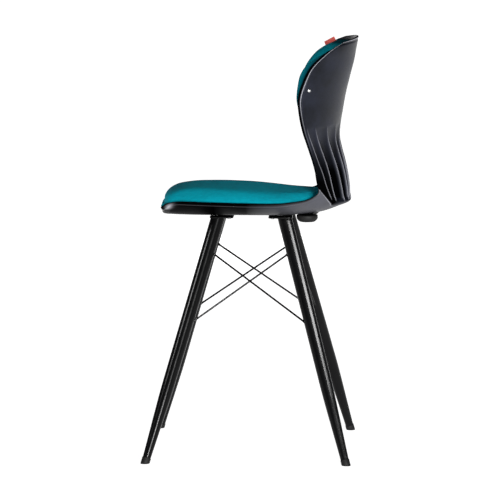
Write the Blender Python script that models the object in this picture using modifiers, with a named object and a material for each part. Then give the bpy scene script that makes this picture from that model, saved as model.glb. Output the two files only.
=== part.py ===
"""Counter stool: a one-piece moulded shell with a seat pad and a back pad on four braced tube legs."""
import math

import bmesh
import bpy
from mathutils import Matrix, Vector
from mathutils.bvhtree import BVHTree

for old in list(bpy.data.objects):
    bpy.data.objects.remove(old, do_unlink=True)

MM = 0.001
GAP = 0.0003

# Shell wall and the deeper lip that runs round its edge.
WALL = 0.005
LIP = 0.009
PLEAT_DEPTH = 0.009

# Stations of the shell's outer face from the front of the seat to the top of the back, in millimetres, with
# heights over its belly: centre line y and z, half width, rim y and z, powers of the plan curve and the rise.
STATIONS = (
    (-213, 13, 142, -198, 28, 2.2, 2.2),
    (-207, 1, 168, -184, 36, 2.2, 2.6),
    (-185, 0, 189, -161, 40, 2.2, 3.0),
    (-140, 0, 203, -128, 41, 2.2, 3.2),
    (-80, 0, 209, -75, 40, 2.2, 3.2),
    (0, 0, 208, 0, 38, 2.2, 3.2),
    (70, 0, 195, 66, 36, 2.2, 3.2),
    (130, 2, 166, 112, 38, 2.2, 3.4),
    (180, 8, 138, 145, 43, 2.2, 4.0),
    (220, 21, 125, 164, 53, 2.2, 5.0),
    (243, 31, 121, 172, 64, 2.2, 6.0),
    (242, 48, 121, 170, 77, 2.2, 6.0),
    (241, 68, 124, 166, 91, 2.2, 5.0),
    (237, 95, 131, 164, 111, 2.2, 4.0),
    (231, 124, 142, 160, 133, 2.2, 3.0),
    (223, 153, 157, 154, 157, 2.2, 2.2),
    (217, 182, 173, 147, 183, 2.2, 2.2),
    (218, 211, 188, 139, 211, 2.2, 2.2),
    (224, 250, 200, 131, 250, 2.2, 2.2),
    (231, 289, 205, 128, 289, 2.2, 2.2),
    (240, 327, 201, 138, 326, 2.2, 2.2),
    (250, 366, 189, 156, 363, 2.2, 2.2),
    (255, 393, 165, 188, 394, 2.2, 2.2),
    (259, 415, 134, 213, 411, 2.2, 2.2),
    (261, 426, 105, 229, 419, 2.2, 2.2),
)
LAST = len(STATIONS) - 1
ROWS_PER_STATION = 2
SEAT_RUN = (1, 9)

# Columns across half the shell, as shares of the half width, at the station in front of each. From the
# heel to the lumbar the odd ones after the first are the crests of pleats, with flutes between them.
COLUMNS = (
    (7, (0, 0.10, 0.20, 0.30, 0.40, 0.50, 0.60, 0.68, 0.76, 0.83, 0.89, 0.95, 1)),
    (10, (0, 0.12, 0.19, 0.256, 0.36, 0.462, 0.59, 0.70, 0.745, 0.79, 0.87, 0.94, 1)),
    (14, (0, 0.15, 0.245, 0.34, 0.456, 0.572, 0.68, 0.79, 0.86, 0.925, 0.95, 0.975, 1)),
    (17, (0, 0.15, 0.27, 0.386, 0.505, 0.625, 0.73, 0.834, 0.90, 0.955, 0.97, 0.985, 1)),
    (20, (0, 0.13, 0.26, 0.38, 0.49, 0.59, 0.68, 0.76, 0.83, 0.88, 0.92, 0.96, 1)),
)
FLUTES = (0, 0, 1, 0, 1, 0, 1, 0, 0.6, 0, 0.3, 0, 0)
LIP_RUN = ((7.5, 1), (9, 0.2), (12, 0.2), (14, 1), (21, 1), (22, 0.2), (23, 0))
PLEAT_FADE = ((0.84, 1), (0.95, 0))
PLEAT_RUN = ((10, 0), (11, 0.85), (12, 1), (13, 1), (14, 0.9), (15, 0.65), (16, 0.3), (17, 0))

# Leg base.
FOOT_X, FOOT_FRONT_Y, FOOT_REAR_Y = 0.225, -0.238, 0.2405
LEG_TOP_X, LEG_FRONT_TOP_Y, LEG_REAR_TOP_Y = 0.067, -0.073, 0.0865
PLATE_TOP_Z, PLATE_T, PLATE_W, PLATE_IN, PLATE_OUT = 0.5755, 0.003, 0.060, 0.038, 0.019
PLATE_CORNER = 0.008
BOSS_H = 0.0015
BELLY_Z = PLATE_TOP_Z + BOSS_H
LEG_TOP_R, LEG_R, LEG_TIP_R, LEG_WALL, TAPER_L = 0.0170, 0.0151, 0.0098, 0.0015, 0.178
FOOT_R, FOOT_H, PLUG_L = 0.0107, 0.015, 0.014
BRACE_R, BRACE_HIGH, BRACE_LOW, BRACE_SINK = 0.0023, 0.495, 0.316, 0.006
LEG_SIDES, SMALL_SIDES = 20, 12

# Screws that hold the leg plates and the seat board, and rivets that hold the back board.
SCREW_R, SCREW_HEAD_R, SCREW_HEAD_H, SCREW_IN = 0.0025, 0.0048, 0.0026, 0.0045
HEAD_FACE = 0.6
SCREW_X, SCREW_EDGE, BOSS_R = 0.018, 0.010, 0.009
BOARD_SCREW_X, BOARD_SCREW_YS, BOARD_SCREW_IN = 0.030, (-0.130, 0.030), 0.008
RIVET_U, RIVET_V, RIVET_IN = 19.6, 0.925, 0.008
RIVET_R, RIVET_HEAD_R, RIVET_HEAD_H = 0.0022, 0.0045, 0.0026

# Buffers under the rear of the seat.
BUFFER_X, BUFFER_Y, BUFFER_LIFT = 0.070, 0.141, 0.0019
BUFFER_R, BUFFER_FOOT_R, BUFFER_H, BUFFER_SIDE_H = 0.0255, 0.018, 0.016, 0.008
BUFFER_BOSS_R, STUD_R, STUD_L = 0.014, 0.005, 0.006

# Pads: a board in the shell, foam on it and a cover drawn over both.
BOARD_T, BOARD_CLEAR, COVER_T, FOAM_CLEAR, HEM = 0.004, 0.0008, 0.0015, 0.0009, 0.0014
SEAT_U, SEAT_V, SEAT_BOARD = (0.3, 9.2), 0.945, (0.74, 0.74)
SEAT_EDGE, SEAT_LEAST, SEAT_SWELL = 0.002, 0.006, 4.5
SEAT_CROWN = ((0, 23), (1, 39.5), (2, 56.5), (3, 64.5), (4, 65), (5, 61.5), (6, 55), (7, 53), (9, 56))
SEAT_LEAN = ((0, 0.3), (1, 0.25), (3, 0))
BACK_U, BACK_BOARD, BACK_SWELL, BACK_LEAN = (15.2, 22.8), (0.95, 0.95), 0.006, 1.0
BACK_REACH = ((15, 0.82), (18.5, 0.97), (20, 0.99), (21.5, 0.985), (22.3, 0.94), (23.2, 0.85))
BACK_EDGE = ((17, 0.012), (18, 0.018), (19, 0.024), (20.5, 0.033), (21.2, 0.020), (22, 0.011), (23, 0.008))
PAD_STEPS = (0, 0.2, 0.4, 0.58, 0.74, 0.87, 0.95, 1)
SEAT_ROUNDING, BACK_ROUNDING = 10, 16
TAB_U, TAB_V, TAB_SPAN = 22.4, -0.97, 0.3
TAB_LENGTH, TAB_REACH, TAB_T = 0.042, 0.010, 0.0016

parts = bpy.data.collections.new("counter_stool")
cutters = bpy.data.collections.new("cutters")
for group in (parts, cutters):
    bpy.context.scene.collection.children.link(group)


def material(name, colour, roughness, metallic=0.0):
    made = bpy.data.materials.new(name)
    made.use_nodes = True
    shader = made.node_tree.nodes["Principled BSDF"]
    shader.inputs["Base Color"].default_value = (*colour, 1)
    shader.inputs["Roughness"].default_value = roughness
    shader.inputs["Metallic"].default_value = metallic
    return made


SHELL_PLASTIC = material("shell_plastic", (0.03, 0.032, 0.036), 0.38)
TEAL_FABRIC = material("teal_fabric", (0.0, 0.22, 0.27), 0.85)
FOAM = material("foam", (0.75, 0.70, 0.55), 0.9)
PLYWOOD = material("plywood", (0.55, 0.40, 0.24), 0.7)
BLACK_METAL = material("black_metal", (0.02, 0.02, 0.022), 0.35, 0.2)
BLACK_RUBBER = material("black_rubber", (0.02, 0.02, 0.02), 0.8)
ZINC_STEEL = material("zinc_steel", (0.55, 0.55, 0.56), 0.35, 1.0)
RED_FABRIC = material("red_fabric", (0.45, 0.03, 0.03), 0.85)


def keep(name, mesh, look, group=parts):
    made = bpy.data.objects.new(name, mesh)
    group.objects.link(made)
    if look:
        made.data.materials.append(look)
    else:
        made.hide_render = True
        made.display_type = "WIRE"
    return made


def hidden_group(name):
    made = bpy.data.collections.new(name)
    cutters.children.link(made)
    return made


def from_points(name, points, faces, look, group=parts):
    mesh = bpy.data.meshes.new(name)
    mesh.from_pydata(points, [], faces)
    return keep(name, mesh, look, group)


def placed(at, along):
    """Frame at a point with its local z along a direction."""
    return Matrix.Translation(at) @ along.to_track_quat("Z", "Y").to_matrix().to_4x4()


def rod(name, start, end, radius, sides, look, group=parts):
    form = bmesh.new()
    run = end - start
    size = {"segments": sides, "radius1": radius, "radius2": radius, "depth": run.length}
    bmesh.ops.create_cone(form, cap_ends=True, **size)
    bmesh.ops.transform(form, matrix=placed((start + end) / 2, run), verts=form.verts)
    mesh = bpy.data.meshes.new(name)
    form.to_mesh(mesh)
    form.free()
    return keep(name, mesh, look, group)


def block(name, low, high, look, group=parts):
    form = bmesh.new()
    size = Matrix.Diagonal((*(high - low), 1))
    bmesh.ops.create_cube(form, size=1, matrix=Matrix.Translation((low + high) / 2) @ size)
    mesh = bpy.data.meshes.new(name)
    form.to_mesh(mesh)
    form.free()
    return keep(name, mesh, look, group)


def turned(name, profile, frame, sides, look, ring=False):
    """Solid of revolution about the frame's z; its profile of radius and height runs top to bottom."""
    count = len(profile)
    edges = [(i, (i + 1) % count) for i in range(count if ring else count - 1)]
    mesh = bpy.data.meshes.new(name)
    mesh.from_pydata([(r, 0, z) for r, z in profile], edges, [])
    made = keep(name, mesh, look)
    made.matrix_world = frame
    screw = made.modifiers.new("turn", "SCREW")
    screw.steps = sides
    screw.render_steps = sides
    screw.use_merge_vertices = True
    screw.merge_threshold = 0.00001
    return made


def boolean(target, operation, tool):
    cut = target.modifiers.new(operation.lower(), "BOOLEAN")
    cut.operation = operation
    cut.solver = "EXACT"
    if isinstance(tool, bpy.types.Collection):
        cut.operand_type = "COLLECTION"
        cut.collection = tool
    else:
        cut.object = tool


def along_table(table, u):
    """Straight-line value, or list of values, between the keys of a table."""
    if u <= table[0][0]:
        return table[0][1]
    for (u0, a), (u1, b) in zip(table, table[1:]):
        if u <= u1:
            f = (u - u0) / (u1 - u0)
            return [p + (q - p) * f for p, q in zip(a, b)] if isinstance(a, tuple) else a + (b - a) * f
    return table[-1][1]


def station(u):
    """Smooth curve through the stations."""
    i = min(int(u), LAST - 1)
    f = u - i
    near = [STATIONS[min(max(k, 0), LAST)] for k in range(i - 1, i + 3)]
    return [
        0.5 * (2 * b + (c - a) * f + (2 * a - 5 * b + 4 * c - d) * f**2 + (3 * b - a - 3 * c + d) * f**3)
        for a, b, c, d in zip(*near)
    ]


def outer(u, v):
    """Point of the shell's outer face at a station and a share of the half width."""
    y, z, half, rim_y, rim_z, bend, rise = station(u)
    share = abs(v)
    height = z + (rim_z - z) * share**rise
    return Vector((half * v * MM, (y + (rim_y - y) * share**bend) * MM, BELLY_Z + height * MM))


def inward(u, v, step=0.02):
    across = outer(u, min(v + step, 1)) - outer(u, max(v - step, -1))
    up = outer(min(u + step, LAST), v) - outer(max(u - step, 0), v)
    return across.cross(up).normalized()


def inside(u, v, depth):
    return outer(u, v) + inward(u, v) * depth


def inner_depth(u, v):
    """Depth of the shell's inner face under the outer one, which stays smooth behind the pleats."""
    return WALL + PLEAT_DEPTH * along_table(PLEAT_RUN, u) * along_table(PLEAT_FADE, abs(v))


def underside(x, y):
    """Height of the seat's outer face over a point of the floor."""
    low, high = SEAT_RUN
    for _ in range(40):
        u = (low + high) / 2
        point = outer(u, x / (station(u)[2] * MM))
        low, high = (u, high) if point.y < y else (low, u)
    return point.z


def grid_faces(rows, columns):
    """Triangles of a grid, all split along the same diagonal, that face the shell's outer side."""
    corners = [(r * columns + c, (r + 1) * columns + c) for r in range(rows - 1) for c in range(columns - 1)]
    return [face for a, b in corners for face in ((a, b, b + 1), (a, b + 1, a + 1))]


def closed(name, low, high, rows, columns, look, shared_edge=False):
    """Solid between two like grids, with its sides closed, or with one edge shared by both."""
    edge = [(0, c) for c in range(columns)] + [(r, columns - 1) for r in range(1, rows)]
    edge += [(rows - 1, c) for c in range(columns - 2, -1, -1)] + [(r, 0) for r in range(rows - 2, 0, -1)]
    ring = [r * columns + c for r, c in edge]
    top = {k: k + len(low) for k in range(len(low))}
    if shared_edge:
        top.update((k, k) for k in ring)
    faces = grid_faces(rows, columns)
    faces += [tuple(top[k] for k in reversed(face)) for face in faces]
    if not shared_edge:
        faces += [(a, b, top[b], top[a]) for a, b in zip(ring, ring[1:] + ring[:1])]
    made = from_points(name, low + high, faces, look)
    form = bmesh.new()
    form.from_mesh(made.data)
    bmesh.ops.delete(form, geom=[v for v in form.verts if not v.link_faces], context="VERTS")
    form.to_mesh(made.data)
    form.free()
    return made


# Seat shell: an outer and an inner face that part at the pleats and meet at the lip. Bosses are joined on
# below it, and holes are cut for everything that is fixed to it.
row_count = LAST * ROWS_PER_STATION + 1
outer_face, inner_face = [], []
for row in range(row_count):
    u = row / ROWS_PER_STATION
    flute = PLEAT_DEPTH * along_table(PLEAT_RUN, u)
    half_row = list(zip(along_table(COLUMNS, u), FLUTES))
    for v, sunk in [(-v, sunk) for v, sunk in reversed(half_row[1:])] + half_row:
        edge = row in (0, row_count - 1) or abs(v) == 1
        outer_face.append(inside(u, v, flute * sunk))
        lip = WALL + (LIP - WALL) * along_table(LIP_RUN, u)
        inner_face.append(inside(u, v, lip if edge else inner_depth(u, v)))
seat_shell = closed("seat_shell", outer_face, inner_face, row_count, 2 * len(FLUTES) - 1, SHELL_PLASTIC)
bosses = hidden_group("shell_bosses")
holes = hidden_group("shell_holes")

# Legs, foot caps and leg plates, one of each at every corner, with the screws of each plate.
UP, FORWARD = Vector((0, 0, 1)), Vector((0, -1, 0))
CORNERS = {
    f"{end}_{side}": (
        Vector((sign * FOOT_X, foot_y, 0)),
        Vector((sign * LEG_TOP_X, top_y, PLATE_TOP_Z - PLATE_T - GAP)),
        inner,
    )
    for end, foot_y, top_y, inner in (
        ("front", FOOT_FRONT_Y, LEG_FRONT_TOP_Y, 1),
        ("rear", FOOT_REAR_Y, LEG_REAR_TOP_Y, -1),
    )
    for side, sign in (("left", 1), ("right", -1))
}
above = block("above_legs", Vector((-1, -1, PLATE_TOP_Z - PLATE_T - GAP)), Vector((1, 1, 1)), None, cutters)
below = block("below_floor", Vector((-1, -1, -1)), Vector((1, 1, 0)), None, cutters)
leg_cuts = {}
screw_number = 0
for corner, (foot, top, inner) in CORNERS.items():
    axis = top - foot
    frame = placed(foot, axis)
    length = axis.length + LEG_TOP_R
    tube = (
        (LEG_TOP_R, length),
        (LEG_R, TAPER_L),
        (LEG_TIP_R, FOOT_H),
        (LEG_TIP_R - LEG_WALL, FOOT_H),
        (LEG_R - LEG_WALL, TAPER_L),
        (LEG_TOP_R - LEG_WALL, length),
    )
    leg = turned(f"leg_{corner}", tube, frame, LEG_SIDES, BLACK_METAL, ring=True)
    boolean(leg, "DIFFERENCE", above)
    leg_cuts[corner] = hidden_group(f"brace_holes_{corner}")
    boolean(leg, "DIFFERENCE", leg_cuts[corner])

    plug_r = LEG_TIP_R - LEG_WALL - GAP
    cap = (
        (0, FOOT_H + PLUG_L),
        (plug_r, FOOT_H + PLUG_L),
        (plug_r, FOOT_H - GAP),
        (FOOT_R, FOOT_H - GAP),
        (FOOT_R, -FOOT_R),
        (0, -FOOT_R),
    )
    boolean(turned(f"foot_cap_{corner}", cap, frame, LEG_SIDES, BLACK_RUBBER), "DIFFERENCE", below)

    front_y, rear_y = sorted((top.y - inner * PLATE_OUT, top.y + inner * PLATE_IN))
    low = Vector((top.x - PLATE_W / 2, front_y, PLATE_TOP_Z - PLATE_T))
    high = Vector((top.x + PLATE_W / 2, rear_y, PLATE_TOP_Z))
    plate = block(f"leg_plate_{corner}", low, high, BLACK_METAL)
    weights = plate.data.attributes.new("bevel_weight_edge", "FLOAT", "EDGE")
    for edge, weight in zip(plate.data.edges, weights.data):
        one, other = (plate.data.vertices[k].co.z for k in edge.vertices)
        weight.value = abs(one - other) > PLATE_T / 2
    round_off = plate.modifiers.new("corners", "BEVEL")
    round_off.limit_method = "WEIGHT"
    round_off.width = PLATE_CORNER
    round_off.segments = 3
    for across in (-SCREW_X, SCREW_X):
        screw_number += 1
        at = Vector((top.x + across, top.y + inner * (PLATE_IN - SCREW_EDGE), PLATE_TOP_Z))
        head_z = -PLATE_T - GAP
        screw = (
            (0, SCREW_IN),
            (SCREW_R, SCREW_IN),
            (SCREW_R, head_z),
            (SCREW_HEAD_R, head_z),
            (SCREW_HEAD_R, head_z - SCREW_HEAD_H / 2),
            (SCREW_HEAD_R * HEAD_FACE, head_z - SCREW_HEAD_H),
            (0, head_z - SCREW_HEAD_H),
        )
        turned(f"plate_screw_{screw_number}", screw, Matrix.Translation(at), SMALL_SIDES, ZINC_STEEL)
        tip = at + UP * (SCREW_IN + GAP)
        below_plate = at - UP * 2 * PLATE_T
        hole = rod(f"plate_hole_{screw_number}", below_plate, tip, SCREW_R + GAP, SMALL_SIDES, None, holes)
        boolean(plate, "DIFFERENCE", hole)
        boss_top = Vector((at.x, at.y, underside(at.x, at.y) + WALL / 2))
        rod(f"boss_{screw_number}", at + UP * GAP, boss_top, BOSS_R, LEG_SIDES, None, bosses)


def leg_point(corner, z):
    foot, top, _ = CORNERS[corner]
    return foot + (top - foot) * (z / top.z)


# Braces: a crossed pair of rods on each side of the base, let into the legs.
SIDES = {
    "left": ("front_left", "rear_left"),
    "right": ("front_right", "rear_right"),
    "front": ("front_left", "front_right"),
    "rear": ("rear_left", "rear_right"),
}
for side, (one, other) in SIDES.items():
    across = leg_point(other, BRACE_LOW) - leg_point(one, BRACE_LOW)
    slope = leg_point(one, BRACE_HIGH) - leg_point(one, BRACE_LOW)
    off = across.cross(slope).normalized() * (BRACE_R + GAP / 2)
    for label, ends, shift in (("a", (BRACE_HIGH, BRACE_LOW), off), ("b", (BRACE_LOW, BRACE_HIGH), -off)):
        name = f"brace_{side}_{label}"
        start = leg_point(one, ends[0]) + shift
        end = leg_point(other, ends[1]) + shift
        run = (end - start).normalized()
        reach = []
        for corner, point, heading in ((one, start, run), (other, end, -run)):
            leg_axis = CORNERS[corner][1] - CORNERS[corner][0]
            slant = heading.cross(leg_axis.normalized()).length
            leg_r = LEG_R + (LEG_TOP_R - LEG_R) * (point.z - TAPER_L) / (leg_axis.length - TAPER_L)
            reach.append(point + heading * ((leg_r - BRACE_SINK) / slant))
            rod(
                f"{name}_hole_{corner}",
                point + heading * ((leg_r - BRACE_SINK - LEG_WALL) / slant),
                point + heading * ((leg_r + BRACE_SINK) / slant),
                BRACE_R + GAP,
                SMALL_SIDES,
                None,
                leg_cuts[corner],
            )
        rod(name, reach[0], reach[1], BRACE_R, SMALL_SIDES, BLACK_METAL)

# Buffers: rubber pucks pushed by their studs into bosses under the rear of the seat.
for side, sign in (("left", 1), ("right", -1)):
    at = Vector((sign * BUFFER_X, BUFFER_Y, BELLY_Z + BUFFER_LIFT - BUFFER_H))
    puck = (
        (0, BUFFER_H + STUD_L),
        (STUD_R, BUFFER_H + STUD_L),
        (STUD_R, BUFFER_H),
        (BUFFER_R, BUFFER_H),
        (BUFFER_R, BUFFER_H - BUFFER_SIDE_H),
        (BUFFER_FOOT_R, 0),
        (0, 0),
    )
    turned(f"buffer_{side}", puck, Matrix.Translation(at), LEG_SIDES, BLACK_RUBBER)
    seat_at = at + UP * (BUFFER_H + GAP)
    boss_top = Vector((at.x, at.y, underside(at.x, at.y) + WALL / 2))
    rod(f"buffer_boss_{side}", seat_at, boss_top, BUFFER_BOSS_R, LEG_SIDES, None, bosses)
    tip = seat_at + UP * STUD_L
    rod(f"buffer_hole_{side}", at, tip, STUD_R + GAP, LEG_SIDES, None, holes)


PAD_LINE = [-s for s in reversed(PAD_STEPS[1:])] + list(PAD_STEPS)
FOAM_BASE = BOARD_CLEAR + BOARD_T + FOAM_CLEAR


def over_shell(u, v, height):
    return inside(u, v, inner_depth(u, v) + height)


def board(name, spot, reach):
    """Board that follows the shell's inner face, out to a share of the pad's own lines."""
    rows = [s for s in PAD_LINE if abs(s) <= reach[0]]
    columns = [t for t in PAD_LINE if abs(t) <= reach[1]]
    spots = [spot(s, t) for s in rows for t in columns]
    low = [over_shell(u, v, BOARD_CLEAR) for u, v in spots]
    high = [over_shell(u, v, BOARD_CLEAR + BOARD_T) for u, v in spots]
    return closed(name, low, high, len(rows), len(columns), PLYWOOD)


def pad(kind, base, skin):
    """Cover drawn over foam: the skin grid is the cover's outer face, and the foam lies in it on the base."""
    count = len(PAD_LINE)
    cover = from_points(f"{kind}_cover", skin, [face[::-1] for face in grid_faces(count, count)], TEAL_FABRIC)
    drawn = cover.modifiers.new("cloth", "SOLIDIFY")
    drawn.thickness = COVER_T
    drawn.offset = -1
    top = [p - v.normal * (COVER_T + FOAM_CLEAR) for p, v in zip(skin, cover.data.vertices)]
    edge = {k for k in range(count * count) if {k // count, k % count} & {0, count - 1}}
    low = [top[k] if k in edge else p for k, p in enumerate(base)]
    closed(f"{kind}_foam", low, top, count, count, FOAM, shared_edge=True)
    return cover


def seat_spot(s, t):
    return SEAT_U[0] + (SEAT_U[1] - SEAT_U[0]) * (s + 1) / 2, t * SEAT_V


def back_spot(s, t):
    u = BACK_U[0] + (BACK_U[1] - BACK_U[0]) * (s + 1) / 2
    return u, t * along_table(BACK_REACH, u)


def rounded(s, t, power):
    return math.sqrt(1 - max(abs(s), abs(t)) ** power)


# Seat pad: its crown stands over the rim and rolls down to the low front edge.
base, skin = [], []
for s in PAD_LINE:
    for t in PAD_LINE:
        u, v = seat_spot(s, t)
        point = over_shell(u, v, FOAM_BASE)
        edge_z = BELLY_Z + station(u)[4] * MM + SEAT_EDGE
        crown_z = BELLY_Z + along_table(SEAT_CROWN, u) * MM
        height = edge_z + (crown_z - edge_z) * (1 - abs(t) ** SEAT_SWELL) - point.z
        base.append(point)
        lean = UP + FORWARD * along_table(SEAT_LEAN, u)
        skin.append(point + UP * HEM + lean * max(height, SEAT_LEAST) * rounded(s, t, SEAT_ROUNDING))
pad("seat", base, skin)
seat_board = board("seat_board", seat_spot, SEAT_BOARD)

# Back pad: an even cushion that follows the back's curve and stands a little proud of the lip.
base, skin = [], []
for s in PAD_LINE:
    for t in PAD_LINE:
        u, v = back_spot(s, t)
        swell = along_table(BACK_EDGE, u) * rounded(s, t, BACK_ROUNDING)
        swell += BACK_SWELL * (1 - s * s) * (1 - t * t)
        lean = (inward(u, v) + FORWARD * BACK_LEAN).normalized()
        base.append(over_shell(u, v, FOAM_BASE))
        skin.append(over_shell(u, v, FOAM_BASE + HEM) + lean * swell)
back_cover = pad("back", base, skin)
back_board = board("back_board", back_spot, BACK_BOARD)

# Screws that hold the seat board through the shell, and rivets that hold the back board near the rim.
for number, (x, y) in enumerate([(sign * BOARD_SCREW_X, y) for y in BOARD_SCREW_YS for sign in (1, -1)], 1):
    at = Vector((x, y, underside(x, y) - GAP))
    screw = (
        (0, BOARD_SCREW_IN),
        (SCREW_R, BOARD_SCREW_IN),
        (SCREW_R, 0),
        (SCREW_HEAD_R, 0),
        (SCREW_HEAD_R, -SCREW_HEAD_H / 2),
        (SCREW_HEAD_R * HEAD_FACE, -SCREW_HEAD_H),
        (0, -SCREW_HEAD_H),
    )
    turned(f"board_screw_{number}", screw, Matrix.Translation(at), SMALL_SIDES, ZINC_STEEL)
    tip = at + UP * (BOARD_SCREW_IN + GAP)
    hole = rod(f"board_hole_{number}", at - UP * WALL, tip, SCREW_R + GAP, SMALL_SIDES, None, holes)
    boolean(seat_board, "DIFFERENCE", hole)
for side, sign in (("left", 1), ("right", -1)):
    into = inward(RIVET_U, sign * RIVET_V)
    at = outer(RIVET_U, sign * RIVET_V) - into * GAP
    rivet = (
        (0, RIVET_IN),
        (RIVET_R, RIVET_IN),
        (RIVET_R, 0),
        (RIVET_HEAD_R, 0),
        (RIVET_HEAD_R * HEAD_FACE, -RIVET_HEAD_H),
        (0, -RIVET_HEAD_H),
    )
    turned(f"back_rivet_{side}", rivet, placed(at, into), SMALL_SIDES, ZINC_STEEL)
    tip = at + into * (RIVET_IN + GAP)
    hole = rod(f"rivet_hole_{side}", at - into * WALL, tip, RIVET_R + GAP, SMALL_SIDES, None, holes)
    boolean(back_board, "DIFFERENCE", hole)
boolean(seat_shell, "UNION", bosses)
boolean(seat_shell, "DIFFERENCE", holes)

# Label tab: a blank folded strip sewn into the seam at the top corner of the back pad.
surface = BVHTree.FromObject(back_cover, bpy.context.evaluated_depsgraph_get())
lift = along_table(BACK_EDGE, TAB_U)
aim = over_shell(TAB_U, TAB_V, FOAM_BASE + lift)
outward = (aim - over_shell(sum(BACK_U) / 2, 0, FOAM_BASE + lift)).normalized()
seam, out, _, _ = surface.find_nearest(aim + outward * lift)
edge_run = outer(TAB_U + TAB_SPAN, TAB_V) - outer(TAB_U - TAB_SPAN, TAB_V)
edge_run = (edge_run - out * edge_run.dot(out)).normalized()
axes = Matrix((edge_run, out, edge_run.cross(out))).transposed().to_4x4()
half_size = Vector((TAB_LENGTH, TAB_REACH, TAB_T)) / 2
tab = block("label_tab", -half_size, half_size, RED_FABRIC)
tab.matrix_world = Matrix.Translation(seam + out * (TAB_REACH / 2 + GAP)) @ axes

# Everything is set so that the middle of the whole length lies over the origin.
front_reach = FOOT_FRONT_Y - FOOT_R * math.hypot(1, (FOOT_FRONT_Y - LEG_FRONT_TOP_Y) / PLATE_TOP_Z)
middle = (front_reach + STATIONS[LAST][0] * MM) / 2
for made in list(parts.objects) + list(cutters.all_objects):
    made.matrix_world = Matrix.Translation((0, -middle, 0)) @ made.matrix_world
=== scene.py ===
import math

import bpy
import numpy as np
from mathutils import Matrix, Vector


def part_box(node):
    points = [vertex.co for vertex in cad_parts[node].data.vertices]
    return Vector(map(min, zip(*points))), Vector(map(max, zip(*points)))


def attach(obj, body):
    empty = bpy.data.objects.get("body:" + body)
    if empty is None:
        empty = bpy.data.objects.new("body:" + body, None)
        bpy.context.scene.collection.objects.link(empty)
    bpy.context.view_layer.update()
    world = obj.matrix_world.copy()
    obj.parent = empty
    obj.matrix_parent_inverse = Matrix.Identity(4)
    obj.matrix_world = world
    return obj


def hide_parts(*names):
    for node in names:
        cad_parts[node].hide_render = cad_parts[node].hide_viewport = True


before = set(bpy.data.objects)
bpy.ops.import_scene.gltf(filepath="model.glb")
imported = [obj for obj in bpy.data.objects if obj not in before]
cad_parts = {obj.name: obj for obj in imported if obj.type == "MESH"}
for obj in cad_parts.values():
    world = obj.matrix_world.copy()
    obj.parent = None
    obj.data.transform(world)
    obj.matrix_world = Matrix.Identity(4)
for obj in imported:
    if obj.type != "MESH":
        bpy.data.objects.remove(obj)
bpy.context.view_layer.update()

# Camera: a long lens on the stool's left side, a little behind its middle, that looks down on the seat
# by about eight degrees.
EYE = Vector((8.1561, 0.4330, 1.6181))
AIM = Vector((0, -0.0059, 0.4831))
LENS_MM, SENSOR_MM, FAR_CLIP = 245.23, 36, 200
bpy.ops.object.select_all(action="DESELECT")
bpy.ops.object.camera_add(location=EYE, rotation=(AIM - EYE).to_track_quat("-Z", "Y").to_euler())
camera = bpy.context.object
camera.name = "side_camera"
camera.data.lens = LENS_MM
camera.data.sensor_width = SENSOR_MM
camera.data.clip_end = FAR_CLIP
bpy.context.scene.camera = camera

# Legs: four steel tubes that narrow gently from the seat and faster towards the foot. They are powder
# coated in satin black, cut level at the top and welded under their plates.
FLOOR_MIDDLE = 0.005935  # y of the part's middle in the maker's drawing
LEG_TOP_Z = 0.5722
FOOT_X, TOP_X = 0.225, 0.067
LEG_Y = {"front": (-0.238, -0.073), "rear": (0.2405, 0.0865)}  # at the foot and at the top
SIDES = {"left": 1, "right": -1}
LEG_FACETS = 64
LEG_RINGS = (
    (0.0090, 0.0150),
    (0.0098, 0.0156),
    (0.0142, 0.1500),
    (0.0147, 0.1680),
    (0.0150, 0.1860),
    (0.0152, 0.2040),
    (0.0170, 0.6180),
)
LEG_ENDS = {
    f"{end}_{side}": (
        Vector((sign * FOOT_X, foot_y - FLOOR_MIDDLE, 0)),
        Vector((sign * TOP_X, top_y - FLOOR_MIDDLE, LEG_TOP_Z)),
    )
    for end, (foot_y, top_y) in LEG_Y.items()
    for side, sign in SIDES.items()
}
COAT_DARK, COAT_LIGHT = (0.0010, 0.0010, 0.0011), (0.0020, 0.0020, 0.0021)
COAT_WORN = (0.02, 0.02, 0.0205)
SCUFFED_TO_Z = 0.09


def pick(piece):
    """Selects one piece alone."""
    bpy.ops.object.select_all(action="DESELECT")
    piece.select_set(True)
    bpy.context.view_layer.objects.active = piece


def raised(name, rings, sides):
    """Round bar raised from a filled circle along z, by rings of radius and height."""
    bpy.ops.object.select_all(action="DESELECT")
    radius, height = rings[0]
    bpy.ops.mesh.primitive_circle_add(
        vertices=sides, radius=radius, fill_type="NGON", location=(0, 0, height)
    )
    bar = bpy.context.object
    bar.name = name
    bpy.ops.object.transform_apply(location=True, rotation=True, scale=True)
    bpy.ops.object.mode_set(mode="EDIT")
    bpy.ops.mesh.select_all(action="SELECT")
    for next_radius, next_height in rings[1:]:
        bpy.ops.mesh.extrude_region_move(TRANSFORM_OT_translate={"value": (0, 0, next_height - height)})
        grow = next_radius / radius
        bpy.ops.transform.resize(value=(grow, grow, 1), center_override=(0, 0, next_height))
        radius, height = next_radius, next_height
    bpy.ops.mesh.select_all(action="SELECT")
    bpy.ops.mesh.normals_make_consistent(inside=False)
    bpy.ops.object.mode_set(mode="OBJECT")
    return bar


def stood(bar, foot, top):
    """Turns a bar's z along a line and leaves its place in its mesh."""
    pick(bar)
    turn = (top - foot).to_track_quat("Z", "Y").to_matrix().to_4x4()
    bar.matrix_world = Matrix.Translation(foot) @ turn
    bpy.ops.object.transform_apply(location=True, rotation=True, scale=True)


def set_down(piece, place):
    """Moves a piece and leaves its place in its mesh."""
    piece.location = place
    pick(piece)
    bpy.ops.object.transform_apply(location=True, rotation=True, scale=True)


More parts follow.
